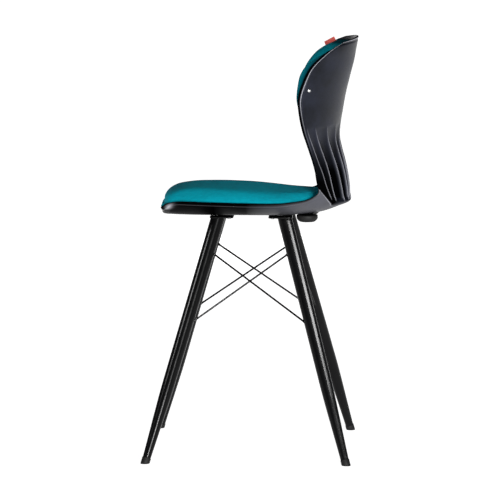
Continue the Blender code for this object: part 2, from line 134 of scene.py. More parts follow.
def cut_level(piece, height, keep_below):
    """Cuts a piece level at a height, keeps one side and closes the cut."""
    pick(piece)
    bpy.ops.object.mode_set(mode="EDIT")
    bpy.ops.mesh.select_all(action="SELECT")
    bpy.ops.mesh.bisect(
        plane_co=(0, 0, height),
        plane_no=(0, 0, 1),
        use_fill=True,
        clear_inner=not keep_below,
        clear_outer=keep_below,
    )
    bpy.ops.object.mode_set(mode="OBJECT")


def smoothed(piece, degrees=35):
    """Shades a piece smooth, apart from edges sharper than an angle."""
    pick(piece)
    bpy.ops.object.shade_smooth_by_angle(angle=math.radians(degrees))


def wired(tree, kind, values=None, settings=None):
    """Shader node with its settings, and its sockets set to values or linked to other sockets."""
    made = tree.nodes.new(kind)
    for key, value in (settings or {}).items():
        setattr(made, key, value)
    for socket, value in (values or {}).items():
        if isinstance(value, bpy.types.NodeSocket):
            tree.links.new(value, made.inputs[socket])
        else:
            made.inputs[socket].default_value = value
    return made


def new_finish(name):
    """New material, with its nodes, its main shader and the coordinates of its piece."""
    made = bpy.data.materials.new(name)
    made.use_nodes = True
    tree = made.node_tree
    place = tree.nodes.new("ShaderNodeTexCoord").outputs["Object"]
    return made, tree, tree.nodes["Principled BSDF"], place


def blend_of(tree, low, high, share):
    """Colour between two colours by a share."""
    mix = tree.nodes.new("ShaderNodeMix")
    mix.data_type = "RGBA"
    for socket, value in ((6, low), (7, high)):
        if isinstance(value, bpy.types.NodeSocket):
            tree.links.new(value, mix.inputs[socket])
        else:
            mix.inputs[socket].default_value = (*value, 1)
    tree.links.new(share, mix.inputs[0])
    return mix.outputs[2]


def ranged(tree, value, low, high, to_low, to_high):
    """Value carried from one range to another."""
    return wired(
        tree,
        "ShaderNodeMapRange",
        {"Value": value, "From Min": low, "From Max": high, "To Min": to_low, "To Max": to_high},
    ).outputs["Result"]


def mottle(tree, place, **settings):
    """Share of an uneven pattern over a piece's own coordinates."""
    return wired(tree, "ShaderNodeTexNoise", {"Vector": place, **settings}).outputs["Fac"]


def worked_out(tree, operation, *values):
    """Result of one sum on its values."""
    sum_node = wired(tree, "ShaderNodeMath", dict(enumerate(values)), {"operation": operation})
    return sum_node.outputs["Value"]


def bumped(tree, shader, strength, depth, relief):
    """Fine relief on a finish."""
    bump = wired(tree, "ShaderNodeBump", {"Strength": strength, "Distance": depth, "Height": relief})
    tree.links.new(bump.outputs["Normal"], shader.inputs["Normal"])


powder_coat, tree, shader, place = new_finish("satin black powder coat")
cloud = mottle(tree, place, Scale=22, Detail=4)
scuff = mottle(tree, place, Scale=170, Detail=5, Roughness=0.7)
above_floor = wired(tree, "ShaderNodeSeparateXYZ", {"Vector": place}).outputs["Z"]
near_floor = ranged(tree, above_floor, 0.0, SCUFFED_TO_Z, 1.0, 0.0)
worn = worked_out(tree, "MULTIPLY", near_floor, ranged(tree, scuff, 0.56, 0.72, 0.0, 0.6))
coat = blend_of(tree, COAT_DARK, COAT_LIGHT, cloud)
tree.links.new(blend_of(tree, coat, COAT_WORN, worn), shader.inputs["Base Color"])
shader.inputs["Specular IOR Level"].default_value = 0.10
tree.links.new(ranged(tree, cloud, 0.3, 0.7, 0.17, 0.22), shader.inputs["Roughness"])
bumped(tree, shader, 0.05, 0.0003, mottle(tree, place, Scale=900, Detail=2))

for corner, (foot, top) in LEG_ENDS.items():
    leg = raised(f"tube_leg_{corner}", LEG_RINGS, LEG_FACETS)
    stood(leg, foot, top)
    cut_level(leg, LEG_TOP_Z, keep_below=True)
    smoothed(leg)
    leg.data.materials.append(powder_coat)
    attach(leg, "root")
    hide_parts(f"leg_{corner}")

# Leg plates: thin pressed plates with rounded corners, one on each leg's top. A rippled bead of weld
# runs round the tube where the two meet, under the same powder coat.
PLATE_T, PLATE_CORNER, PLATE_EDGE = 0.003, 0.008, 0.0006
WELD_R, WELD_RING, WELD_RIPPLE, WELD_RIPPLES = 0.0021, 0.0172, 0.012, 30
for corner, (foot, top) in LEG_ENDS.items():
    low, high = (Vector(c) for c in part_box(f"leg_plate_{corner}"))
    bpy.ops.object.select_all(action="DESELECT")
    bpy.ops.mesh.primitive_cube_add(size=1, location=(low + high) / 2, scale=high - low)
    plate = bpy.context.object
    plate.name = f"pressed_plate_{corner}"
    bpy.ops.object.transform_apply(location=True, rotation=True, scale=True)
    bpy.ops.object.mode_set(mode="EDIT")
    bpy.ops.mesh.select_all(action="DESELECT")
    bpy.ops.mesh.select_mode(type="EDGE")
    bpy.ops.object.mode_set(mode="OBJECT")
    for edge in plate.data.edges:
        ends = [plate.data.vertices[k].co.z for k in edge.vertices]
        edge.select = abs(ends[0] - ends[1]) > PLATE_T / 2
    bpy.ops.object.mode_set(mode="EDIT")
    bpy.ops.mesh.bevel(offset=PLATE_CORNER, segments=6)
    bpy.ops.object.mode_set(mode="OBJECT")
    soften = plate.modifiers.new("pressed edge", "BEVEL")
    soften.width = PLATE_EDGE
    soften.segments = 2
    soften.limit_method = "ANGLE"
    bpy.ops.object.modifier_apply(modifier=soften.name)

    lean = top - foot
    bpy.ops.object.select_all(action="DESELECT")
    bpy.ops.mesh.primitive_torus_add(
        major_segments=96,
        minor_segments=10,
        major_radius=WELD_RING,
        minor_radius=WELD_R,
        location=(0, 0, 0),
    )
    weld = bpy.context.object
    for vertex in weld.data.vertices:
        angle = math.atan2(vertex.co.y, vertex.co.x)
        vertex.co *= 1 + WELD_RIPPLE * math.sin(angle * WELD_RIPPLES)
    stretch = lean.length / lean.z
    weld.scale = (stretch, 1, 1)
    weld.rotation_euler = (0, 0, math.atan2(lean.y, lean.x))
    weld.location = top
    bpy.ops.object.transform_apply(location=True, rotation=True, scale=True)
    pick(plate)
    weld.select_set(True)
    bpy.ops.object.join()
    smoothed(plate, 40)
    plate.data.materials.clear()
    plate.data.materials.append(powder_coat)
    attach(plate, "root")
    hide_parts(f"leg_plate_{corner}")

# Foot caps: black rubber caps pushed up into the tubes, with a rolled upper edge and one groove, and
# a flat sole on the floor.
CAP_RINGS = (
    (0.0107, -0.0107),
    (0.0107, 0.0082),
    (0.0103, 0.0086),
    (0.0103, 0.0093),
    (0.0107, 0.0097),
    (0.0107, 0.0130),
    (0.0104, 0.0142),
    (0.0098, 0.0148),
)
CAP_FACETS, SOLE_EDGE = 64, 0.0008
RUBBER_DARK, RUBBER_BLOOM = (0.003, 0.003, 0.003), (0.008, 0.008, 0.008)
rubber, tree, shader, place = new_finish("black rubber")
bloom = mottle(tree, place, Scale=60, Detail=4)
tree.links.new(blend_of(tree, RUBBER_DARK, RUBBER_BLOOM, bloom), shader.inputs["Base Color"])
tree.links.new(ranged(tree, bloom, 0.3, 0.7, 0.52, 0.7), shader.inputs["Roughness"])
shader.inputs["Specular IOR Level"].default_value = 0.15
bumped(tree, shader, 0.2, 0.0002, mottle(tree, place, Scale=1400, Detail=3))
for corner, (foot, top) in LEG_ENDS.items():
    cap = raised(f"rubber_foot_{corner}", CAP_RINGS, CAP_FACETS)
    stood(cap, foot, top)
    cut_level(cap, 0, keep_below=False)
    for edge in cap.data.edges:
        edge.select = all(abs(cap.data.vertices[k].co.z) < 1e-6 for k in edge.vertices)
    bpy.ops.object.mode_set(mode="EDIT")
    bpy.ops.mesh.bevel(offset=SOLE_EDGE, segments=3)
    bpy.ops.object.mode_set(mode="OBJECT")
    smoothed(cap)
    cap.data.materials.append(rubber)
    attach(cap, "root")
    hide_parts(f"foot_cap_{corner}")

# Braces: thin steel rods, crossed in a pair on each side of the base. Their ends go into the leg tubes
# and are welded there, and the pair touches where it crosses.
BRACE_R, BRACE_HIGH, BRACE_LOW, BRACE_SINK, BRACE_GAP = 0.0023, 0.495, 0.316, 0.006, 0.00015
BRACE_WELD = (
    (BRACE_R, 0),
    (0.0031, 0.0044),
    (0.0034, 0.0062),
    (0.0029, 0.0078),
    (0.0025, 0.0092),
    (BRACE_R, 0.0115),
)
BRACE_FACETS = 28
TAPER_Z, TAPER_R, TAPER_GAIN = 0.178, 0.0151, 0.0019
BRACE_SIDES = {
    "left": ("front_left", "rear_left"),
    "right": ("front_right", "rear_right"),
    "front": ("front_left", "front_right"),
    "rear": ("rear_left", "rear_right"),
}


def on_leg(corner, height):
    """Point of a leg's centre line at a height."""
    foot, top = LEG_ENDS[corner]
    return foot + (top - foot) * (height / top.z)


for side, (one, other) in BRACE_SIDES.items():
    across = on_leg(other, BRACE_LOW) - on_leg(one, BRACE_LOW)
    slope = on_leg(one, BRACE_HIGH) - on_leg(one, BRACE_LOW)
    off = across.cross(slope).normalized() * (BRACE_R + BRACE_GAP)
    for label, start_z, end_z, shift in (
        ("a", BRACE_HIGH, BRACE_LOW, off),
        ("b", BRACE_LOW, BRACE_HIGH, -off),
    ):
        start = on_leg(one, start_z) + shift
        end = on_leg(other, end_z) + shift
        run = (end - start).normalized()
        surface = []
        for corner, point, heading in ((one, start, run), (other, end, -run)):
            leg_axis = LEG_ENDS[corner][1] - LEG_ENDS[corner][0]
            slant = heading.cross(leg_axis.normalized()).length
            leg_r = TAPER_R + TAPER_GAIN * (point.z - TAPER_Z) / (leg_axis.length - TAPER_Z)
            surface.append(point + heading * ((leg_r - BRACE_SINK) / slant))
        length = (surface[1] - surface[0]).length
        rings = BRACE_WELD + tuple((r, length - z) for r, z in reversed(BRACE_WELD))
        rod = raised(f"cross_rod_{side}_{label}", rings, BRACE_FACETS)
        stood(rod, surface[0], surface[1])
        smoothed(rod, 60)
        rod.data.materials.append(powder_coat)
        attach(rod, "root")
        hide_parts(f"brace_{side}_{label}")

# Shell: seat and back moulded in one piece of satin black plastic. Concave flutes with sharp crests
# gather its waist, a ledge ends them at the heel, and a rounded lip runs round the whole edge. Bosses
# under the seat take the screws of the leg plates and the studs of the buffers.
MM = 0.001
BELLY = 577.0  # height of the seat's underside, in millimetres
# From the front edge to the top, in millimetres: y and z at the middle, half width, y and z at the rim,
# and then how late the face turns forward and how late it rises towards the rim.
SHELL_LINES = np.array((
    (-213, 13, 142, -198, 20, 2.2, 2.2),
    (-207, 1, 168, -184, 33, 2.2, 2.6),
    (-185, 0, 189, -161, 40, 2.2, 3.0),
    (-140, 0, 203, -128, 41, 2.2, 3.2),
    (-80, 0, 209, -75, 40, 2.2, 3.2),
    (0, 0, 208, 0, 38, 2.2, 3.2),
    (70, 0, 195, 66, 36, 2.2, 3.2),
    (130, 2, 166, 112, 38, 2.2, 3.4),
    (180, 8, 138, 145, 43, 2.2, 4.0),
    (220, 21, 125, 164, 53, 2.2, 5.0),
    (243, 31, 121, 172, 64, 2.2, 6.0),
    (242, 48, 121, 170, 77, 2.2, 6.0),
    (241, 68, 124, 166, 91, 2.2, 5.0),
    (237, 95, 131, 164, 111, 2.2, 4.0),
    (231, 124, 142, 160, 133, 2.2, 3.0),
    (223, 153, 157, 154, 157, 2.2, 2.2),
    (217, 182, 173, 147, 183, 2.2, 2.2),
    (218, 211, 188, 139, 211, 2.2, 2.2),
    (224, 250, 200, 131, 250, 2.2, 2.2),
    (231, 289, 205, 128, 289, 2.2, 2.2),
    (240, 327, 201, 138, 326, 2.2, 2.2),
    (250, 366, 189, 156, 363, 2.2, 2.2),
    (255, 393, 165, 188, 394, 2.2, 2.2),
    (259, 415, 134, 213, 411, 2.2, 2.2),
    (261, 426, 105, 229, 419, 2.2, 2.2),
))
RIM_Z = 4  # place of the rim's z in a line
SHELL_TOP = len(SHELL_LINES) - 1
SHELL_WALL, SHELL_LIP, FLUTE_DEPTH = 0.005, 0.009, 0.009
CRESTS = (
    (10, (0.12, 0.256, 0.462, 0.70, 0.79, 0.94)),
    (14, (0.15, 0.34, 0.572, 0.79, 0.925, 0.975)),
    (17, (0.15, 0.386, 0.625, 0.834, 0.955, 0.985)),
)
FLUTE_SHARES = (1, 1, 1, 0.6, 0.3)
CREST_W, CREST_RISE = 0.0007, 0.0006
LIP_W, EDGE_R = 0.010, 0.0022
GROOVE_DEEP, GROOVE_IN, GROOVE_W = 0.0011, 0.0062, 0.0013
PLATE_BOSS_R, BUFFER_BOSS_R, BOSS_EDGE, BUFFER_NECK, BOSS_FACETS = 0.009, 0.014, 0.0005, 0.016, 32
BACK_FROM_Z = 0.66
HEEL_W, RIM_IN, RIM_W, EDGE_W = 0.0011, 0.0026, 0.0008, 0.0012
# Strengths of the painted highlights and of the painted shade on the shell.
CREST_HIGHLIGHT, HEEL_HIGHLIGHT, FLANK_HIGHLIGHT, NOSE_HIGHLIGHT = 0.5, 0.7, 0.14, 0.85
BAND_SHADE, WAIST_TONE = 0.98, 0.85
PLASTIC_DARK, PLASTIC_LIGHT = (0.001, 0.0012, 0.002), (0.0085, 0.0098, 0.017)
# Near black of the painted shade, and pale grey of the painted highlights.
PLASTIC_SHADE, PLASTIC_HIGHLIGHT = (0.0005, 0.0005, 0.0006), (0.295, 0.295, 0.325)
PLASTIC_GLOSS = 0.17


def shell_line(u):
    """Values of the shell's lines at stations between them, on a smooth curve."""
    u = np.asarray(u, float)
    start = np.minimum(u.astype(int), SHELL_TOP - 1)
    f = (u - start)[..., None]
    a, b, c, d = (SHELL_LINES[np.clip(start + k, 0, SHELL_TOP)] for k in (-1, 0, 1, 2))
    square, cube = 2 * a - 5 * b + 4 * c - d, 3 * b - a - 3 * c + d
    return 0.5 * (2 * b + (c - a) * f + square * f**2 + cube * f**3)


def shell_face(u, v):
    """Points of the shell's outer face at stations and shares of the half width."""
    y, z, half, rim_y, rim_z, bend, rise = np.moveaxis(shell_line(u), -1, 0)
    share = np.abs(v)
    across = np.broadcast_to(half * v, share.shape)
    depth = y + (rim_y - y) * share**bend - FLOOR_MIDDLE * 1000
    rise_z = z + (rim_z - z) * share**rise + BELLY
    return np.stack((across, depth, rise_z), -1) * MM


def shell_inward(u, v, step=0.02):
    """Directions from the outer face into the wall."""
    across = shell_face(u, np.minimum(v + step, 1)) - shell_face(u, np.maximum(v - step, -1))
    along = shell_face(np.minimum(u + step, SHELL_TOP), v) - shell_face(np.maximum(u - step, 0), v)
    normal = np.cross(across, along)
    return normal / np.linalg.norm(normal, axis=-1, keepdims=True)


def wall_depth(u, v):
    """Depth of the smooth inner face, which lies behind the flutes."""
    run = np.interp(u, (10, 11, 12, 13, 14, 15, 16, 17), (0, 0.85, 1, 1, 0.9, 0.65, 0.3, 0))
    return SHELL_WALL + FLUTE_DEPTH * run * np.interp(np.abs(v), (0.84, 0.95), (1, 0))


def face_width(u, v):
    """Length of the outer face across, for one whole share of the half width."""
    step = 0.02
    out = np.minimum(np.abs(v) + step / 2, 1)
    return np.linalg.norm(shell_face(u, out) - shell_face(u, out - step), axis=-1) / step


def rim_gap(u, v):
    """Distance along the outer face to the shell's edge."""
    step, middle = 0.5, np.zeros(2)
    ends, inner = np.array((0.0, SHELL_TOP)), np.array((step, SHELL_TOP - step))
    tall = np.linalg.norm(shell_face(ends, middle) - shell_face(inner, middle), axis=-1) / step
    to_ends = np.minimum(u * tall[0], (SHELL_TOP - u) * tall[1])
    return np.minimum((1 - np.abs(v)) * face_width(u, v), to_ends)


def lip_height(u, v):
    """How far the lip stands above the inner face."""
    run = np.interp(u, (7.5, 9, 12, 14, 21, 22, 23), (1, 0.2, 0.2, 1, 1, 0.2, 0))
    rise = np.clip(1 - rim_gap(u, v) / LIP_W, 0, 1)
    return (SHELL_LIP - SHELL_WALL) * run * rise**2 * (3 - 2 * rise)


def hump(x, middle, width):
    """Smooth hump of height one."""
    return np.exp(-(((x - middle) / width) ** 2))


def sheet_grid(name, rows, columns):
    """Flat grid with a second face behind it, for shaping row by row: its front points come first."""
    bpy.ops.object.select_all(action="DESELECT")
    bpy.ops.mesh.primitive_grid_add(
        x_subdivisions=columns - 1, y_subdivisions=rows - 1, size=2, calc_uvs=True
    )
    grid = bpy.context.object
    grid.name = name
    wall = grid.modifiers.new("wall", "SOLIDIFY")
    wall.thickness = 0.01
    wall.offset = -1
    bpy.ops.object.modifier_apply(modifier=wall.name)
    return grid


def shape_grid(grid, front, back):
    """Moves a grid's two faces to their points."""
    points = np.concatenate((front.reshape(-1, 3), back.reshape(-1, 3)))
    grid.data.vertices.foreach_set("co", points.astype(np.float32).ravel())
    grid.data.update()


ends = np.array((0, 0.03, 0.06, 0.09, 0.13, 0.17, 0.22, 0.3))
rows = np.concatenate((ends, np.arange(0.4, SHELL_TOP - 0.35, 0.1), SHELL_TOP - ends[::-1]))
crest_rows = [row for row, _ in CRESTS]
keys = [np.interp(rows, crest_rows, line) for line in zip(*(shares for _, shares in CRESTS))]
keys = np.stack((np.zeros(len(rows)), *keys, np.ones(len(rows))), -1)
spread = (1 - np.cos(np.linspace(0, np.pi, 11)[:-1])) / 2
fields = [keys[:, i, None] + (keys[:, i + 1] - keys[:, i])[:, None] * spread for i in range(7)]
half_row = np.concatenate((*fields, np.ones((len(rows), 1))), -1)
v = np.concatenate((-half_row[:, :0:-1], half_row), -1)
u = np.broadcast_to(rows[:, None], v.shape)
share = np.abs(v)

flute = np.zeros_like(v)
crest = np.zeros_like(v)
width = face_width(u, v)
for i, strength in enumerate(FLUTE_SHARES):
    low, high = keys[:, i + 1, None], keys[:, i + 2, None]
    f = np.clip((share - low) / (high - low), 0, 1)
    flute += strength * (1 - (2 * f - 1) ** 2)
    crest = np.maximum(crest, hump((share - low) * width, 0, CREST_W))
flute_run = np.interp(
    u,
    (10.15, 10.4, 10.8, 14, 15, 16, 16.6, 17.1, 17.3),
    (0, 0.6, 1, 1, 0.95, 0.65, 0.42, 0.22, 0),
)
edge_gap = rim_gap(u, v)
roll = np.clip(1 - edge_gap / EDGE_R, 0, 1)
rounding = EDGE_R * (1 - np.sqrt(np.clip(1 - roll**2, 0, 1)))
groove = GROOVE_DEEP * hump(edge_gap, GROOVE_IN, GROOVE_W)
outer_depth = flute * FLUTE_DEPTH * flute_run - CREST_RISE * crest * flute_run + rounding + groove
inner_depth = wall_depth(u, v) + lip_height(u, v) - rounding * 0.8
into = shell_inward(u, v)
face = shell_face(u, v)
shell = sheet_grid("moulded_shell", *v.shape)
shape_grid(shell, face + into * inner_depth[..., None], face + into * outer_depth[..., None])

outer = face.reshape(-1, 3)
outer = outer[outer[:, 2] < BACK_FROM_Z]
plate_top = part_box("leg_plate_front_left")[1][2]
bosses = [(f"plate_screw_{k}", PLATE_BOSS_R, plate_top) for k in range(1, 9)]
for side in SIDES:
    bosses.append((f"buffer_{side}", BUFFER_BOSS_R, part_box(f"buffer_{side}")[0][2] + BUFFER_NECK))
skin = len(shell.data.vertices)
for node, radius, foot_z in bosses:
    low, high = (Vector(c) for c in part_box(node))
    x, y = (low.x + high.x) / 2, (low.y + high.y) / 2
    wall_z = outer[np.argmin((outer[:, 0] - x) ** 2 + (outer[:, 1] - y) ** 2), 2] + SHELL_WALL / 2
    rings = (radius - BOSS_EDGE, foot_z), (radius, foot_z + BOSS_EDGE), (radius, wall_z)
    boss = raised("boss", rings, BOSS_FACETS)
    set_down(boss, (x, y, 0))
    pick(shell)
    boss.select_set(True)
    bpy.ops.object.join()
smoothed(shell, 50)

# Painted highlights, on a slightly smoother face: the crests, the crease over the heel, the rim, the
# flank and the front corners.
heel_line = np.interp(share, (0, 0.3, 0.68, 0.95, 1), (9.95, 9.6, 9.05, 10.15, 10.35))
over_heel = (u - heel_line) * 0.02
heel_crease = HEEL_HIGHLIGHT * hump(over_heel, 0, HEEL_W) * np.interp(share, (0.6, 0.72), (0, 1))
rim_run = np.interp(u, (0, 2, 7, 8.5, 15, 17, 18, 19.3), (0.6, 0.15, 0.2, 0, 0, 0.25, 0.5, 1))
rim_line = hump(edge_gap, RIM_IN, RIM_W) * rim_run
flank = FLANK_HIGHLIGHT * np.interp(u, (5, 7.5, 9.5), (0, 1, 1)) * np.clip(-over_heel / 0.001, 0, 1)
flank *= np.interp(share, (0.45, 0.7), (0, 1))
nose = NOSE_HIGHLIGHT * hump(u, 1.05, 0.4) * np.interp(share, (0.82, 0.92), (0, 1))
crest_line = CREST_HIGHLIGHT * crest * np.clip(flute_run * 1.6, 0, 1)
painted_highlight_mask = np.maximum.reduce((crest_line, heel_crease, rim_line, flank, nose))

# Painted shade, which darkens the colour and dulls the reflection: the wings and flutes of the waist,
# the underside, the seat's side and the very edge.
wing = np.interp(share, (0.55, 0.72), (0, 1)) * np.clip(over_heel / 0.002, 0, 1)
wing *= np.interp(u, (12, 14, 15.5, 17), (1, 0.8, 0.3, 0))
scoop = np.clip(1.7 * flute, 0, 1) * np.interp(u, (10.2, 10.8, 13.5, 15.5, 17.2), (0, 1, 1, 0.55, 0))
underside = np.interp(into[..., 2], (-0.1, 0.35), (0.95, 1))
underside *= np.interp(u, (0.3, 0.8, 4, 7.5, 9.5), (0, 0.9, 1, 0.35, 0))
band = BAND_SHADE * np.interp(u, (0.9, 1.6, 5, 7.2), (0, 1, 1, 0)) * np.interp(share, (0.4, 0.7), (0, 1))
very_edge = np.clip(1 - edge_gap / EDGE_W, 0, 1)
painted_shade_mask = np.maximum.reduce((wing, scoop, underside, band, very_edge)) * (1 - painted_highlight_mask)
# Painted shade on the inner face as well, lighter where the waist opens and near the top.
open_waist = np.interp(u, (8, 9.5, 15, 16.5), (0, 1, 1, 0)) * np.interp(share, (0.8, 0.97), (1, 0.3))
inside = 1 - np.maximum(WAIST_TONE * open_waist, np.interp(u, (22.3, 22.9), (0, 0.7)))
boss_points = len(shell.data.vertices) - skin
# The bosses under the seat take full painted shade and no painted highlight.
for label, inner_tone, outer_tone, boss_tone in (
    ("painted_highlight_and_polish", np.zeros_like(painted_highlight_mask), painted_highlight_mask, 0),
    ("painted_shade_mask", inside, painted_shade_mask, 1),
):
    tone = shell.data.attributes.new(label, "FLOAT", "POINT")
    values = np.concatenate((inner_tone.ravel(), outer_tone.ravel(), np.full(boss_points, boss_tone)))
    tone.data.foreach_set("value", values.astype(np.float32))


def toned(tree, label):
    """Tone that the mesh itself carries."""
    return wired(tree, "ShaderNodeAttribute", settings={"attribute_name": label}).outputs["Fac"]


shell_plastic, tree, shader, place = new_finish("satin moulded plastic")
flow = mottle(tree, place, Scale=14, Detail=5, Roughness=0.6)
edge_highlight_and_polish = toned(tree, "painted_highlight_and_polish")
painted_shade_share = toned(tree, "painted_shade_mask")
tint = blend_of(tree, PLASTIC_DARK, PLASTIC_LIGHT, ranged(tree, flow, 0.3, 0.7, 0, 1))
# Painted shade: a near black colour, and no reflection where the shade is full.
tint = blend_of(tree, tint, PLASTIC_SHADE, painted_shade_share)
# Painted highlights: a pale grey colour, and a slightly smoother face.
tree.links.new(blend_of(tree, tint, PLASTIC_HIGHLIGHT, edge_highlight_and_polish), shader.inputs["Base Color"])
shader.inputs["Specular IOR Level"].default_value = PLASTIC_GLOSS
tree.links.new(ranged(tree, painted_shade_share, 0, 1, PLASTIC_GLOSS, 0), shader.inputs["Specular IOR Level"])
shader.inputs["Specular Tint"].default_value = (0.80, 0.86, 1, 1)
satin = ranged(tree, flow, 0.3, 0.7, 0.36, 0.46)
smoother = worked_out(tree, "SUBTRACT", satin, ranged(tree, edge_highlight_and_polish, 0, 1, 0, 0.14))
tree.links.new(smoother, shader.inputs["Roughness"])
bumped(tree, shader, 0.16, 0.0005, mottle(tree, place, Scale=520, Detail=3, Roughness=0.6))
shell.data.materials.clear()
shell.data.materials.append(shell_plastic)
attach(shell, "root")
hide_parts("seat_shell")

# Screws: zinc plated pan heads with a crossed recess. Two hold each leg plate up to the shell, and four
# hold the seat pad's board from below.
HEAD_H, HEAD_FACETS, RECESS = 0.0026, 32, (0.0044, 0.0009, 0.0022)
HEAD_RINGS = (
    (0.0032, -HEAD_H),
    (0.0041, -0.0022),
    (0.0047, -0.0013),
    (0.0048, 0),
    (0.0025, 0.0001),
    (0.0025, 0.004),
)
TURN_BY_X, TURN_BY_Y = 37, 53
ZINC_DARK, ZINC_LIGHT = (0.40, 0.41, 0.43), (0.62, 0.62, 0.60)
zinc, tree, shader, place = new_finish("zinc plate")
streak = mottle(tree, place, Scale=700, Detail=4)
tree.links.new(blend_of(tree, ZINC_DARK, ZINC_LIGHT, streak), shader.inputs["Base Color"])
tree.links.new(ranged(tree, streak, 0.3, 0.7, 0.26, 0.42), shader.inputs["Roughness"])
shader.inputs["Metallic"].default_value = 1
pan_head = raised("pan_head", HEAD_RINGS, HEAD_FACETS)
for turn in (0, math.pi / 2):
    bpy.ops.object.select_all(action="DESELECT")
    bpy.ops.mesh.primitive_cube_add(
        size=1, location=(0, 0, -HEAD_H), scale=RECESS, rotation=(0, 0, turn)
    )
    blade = bpy.context.object
    pick(pan_head)
    recess = pan_head.modifiers.new("recess", "BOOLEAN")
    recess.object = blade
    recess.solver = "EXACT"
    bpy.ops.object.modifier_apply(modifier=recess.name)
    bpy.data.objects.remove(blade, do_unlink=True)
for node in [f"plate_screw_{k}" for k in range(1, 9)] + [f"board_screw_{k}" for k in range(1, 5)]:
    low, high = (Vector(c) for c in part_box(node))
    x, y = (low.x + high.x) / 2, (low.y + high.y) / 2
    screw = bpy.data.objects.new(f"zinc_{node}", pan_head.data.copy())
    bpy.context.scene.collection.objects.link(screw)
    screw.rotation_euler = (0, 0, x * TURN_BY_X + y * TURN_BY_Y)
    set_down(screw, (x, y, low.z + HEAD_H))
    smoothed(screw, 30)
    screw.data.materials.clear()
    screw.data.materials.append(zinc)
    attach(screw, "root")
    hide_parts(node)
bpy.data.objects.remove(pan_head, do_unlink=True)

# Buffers: round rubber pucks pushed by a stud into the shell's underside behind the legs. Each has a
# rounded skirt and a shallow dish in its sole.
PUCK_RINGS = (
    (0.0060, 0.0018),
    (0.0120, 0.0014),
    (0.0150, 0.0002),
    (0.0172, 0.0001),
    (0.0192, 0.0010),
    (0.0222, 0.0036),
    (0.0244, 0.0066),
    (0.0253, 0.0094),
    (0.0255, 0.0120),
    (0.0253, 0.0150),
    (0.0246, 0.0160),
    (0.0050, 0.0161),
    (0.0050, 0.0220),
)
PUCK_FACETS = 72
for side in SIDES:
    low, high = (Vector(c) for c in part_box(f"buffer_{side}"))
    puck = raised(f"rubber_buffer_{side}", PUCK_RINGS, PUCK_FACETS)
    set_down(puck, ((low.x + high.x) / 2, (low.y + high.y) / 2, low.z))
    smoothed(puck, 50)
    puck.data.materials.append(rubber)
    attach(puck, "root")
    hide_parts(f"buffer_{side}")

# Boards: bent plywood under each pad, raw and out of sight. The cloth is stapled to it, and screws or
# rivets through the shell hold it.
PLY_DARK, PLY_LIGHT, PLY_FIGURE = (0.42, 0.28, 0.15), (0.62, 0.46, 0.28), (60, 6, 60)
plywood, tree, shader, place = new_finish("raw plywood")
stretched = wired(tree, "ShaderNodeMapping", {"Vector": place, "Scale": PLY_FIGURE}).outputs["Vector"]
figure = mottle(tree, stretched, Scale=4, Detail=6, Distortion=0.6)
tree.links.new(blend_of(tree, PLY_DARK, PLY_LIGHT, figure), shader.inputs["Base Color"])
tree.links.new(ranged(tree, figure, 0.3, 0.7, 0.6, 0.8), shader.inputs["Roughness"])
bumped(tree, shader, 0.2, 0.0004, figure)
for node in ("seat_board", "back_board"):
    for material_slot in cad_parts[node].material_slots:
        material_slot.material = plywood

# Seat pad: foam on its board under one piece of teal cloth. The cloth is drawn over the crown, rolls
# down at the front and is pulled in under the edge, inside the shell's lip.
FOAM_BASE, HEM, SEAT_TUCK = 0.0057, 0.0014, 0.0009
SEAT_ROWS = SEAT_COLUMNS = 97
SEAT_FROM, SEAT_TO, SEAT_SHARE = 0.3, 9.2, 0.945
SEAT_EDGE, SEAT_LEAST, SEAT_SWELL, SEAT_ROUND = 0.002, 0.006, 4.5, 10
FRONT_ROLL, ROLL_AT, ROLL_W, ROLL_ENDS, ROLL_EASE = 0.010, -0.955, 0.04, 8, 0.03
CORNER_LIFT, CORNER_FROM, CORNER_EASE = 0.0032, 1.8, 0.15
SEAT_CROWN = ((0, 23), (1, 39.5), (2, 56.5), (3, 64.5), (4, 65), (5, 61.5), (6, 55), (7, 53), (9, 56))
SEAT_LEAN = ((0, 0.1), (1, 0.08), (3, 0))
SEAT_PUFF, PUFF_SPARE, HELD_FROM = 0.004, 0.001, 0.985
PRESSURE, PUFF_STEPS, CALM_ROUNDS = 4, 20, 14
THREAD = 0.0011
# The last colour is the painted shade of the cloth's edges.
TEAL_DEEP, TEAL_BRIGHT, TEAL_SHADE = (0.0005, 0.30, 0.39), (0.003, 0.42, 0.53), (0.0002, 0.030, 0.042)
TEAL_SHEEN = (0.25, 0.85, 0.95, 1)


def eased(steps):
    """Even steps from -1 to 1 that crowd towards both ends."""
    line = np.linspace(-1, 1, steps)
    return np.sin(line * np.pi / 2) * 0.55 + line * 0.45


def from_table(table, u):
    """Value of a table on a smooth line through its keys."""
    spots, values = np.array(table, float).T
    fine = np.linspace(spots[0], spots[-1], 200)
    line = np.interp(fine, spots, values)
    reach = 12
    soften = np.hanning(2 * reach + 3)[1:-1]
    soft = np.convolve(np.pad(line, reach, mode="edge"), soften / soften.sum(), mode="valid")
    return np.interp(u, fine, soft)


def over_shell(u, v, height):
    """Points at heights over the shell's inner face."""
    return shell_face(u, v) + shell_inward(u, v) * (wall_depth(u, v) + height)[..., None]


def lay_weave(piece, front):
    """Cloth's own map in metres: the length of its threads across and along the pad."""
    across = np.cumsum(np.linalg.norm(np.diff(front, axis=1, prepend=front[:, :1]), axis=-1), axis=1)
    along = np.cumsum(np.linalg.norm(np.diff(front, axis=0, prepend=front[:1]), axis=-1), axis=0)
    across -= across[:, across.shape[1] // 2, None]
    flat = np.stack((across.ravel(), along.ravel()), -1)
    corner = np.empty(len(piece.data.loops), np.int32)
    piece.data.loops.foreach_get("vertex_index", corner)
    piece.data.uv_layers[0].data.foreach_set("uv", flat[corner % len(flat)].astype(np.float32).ravel())


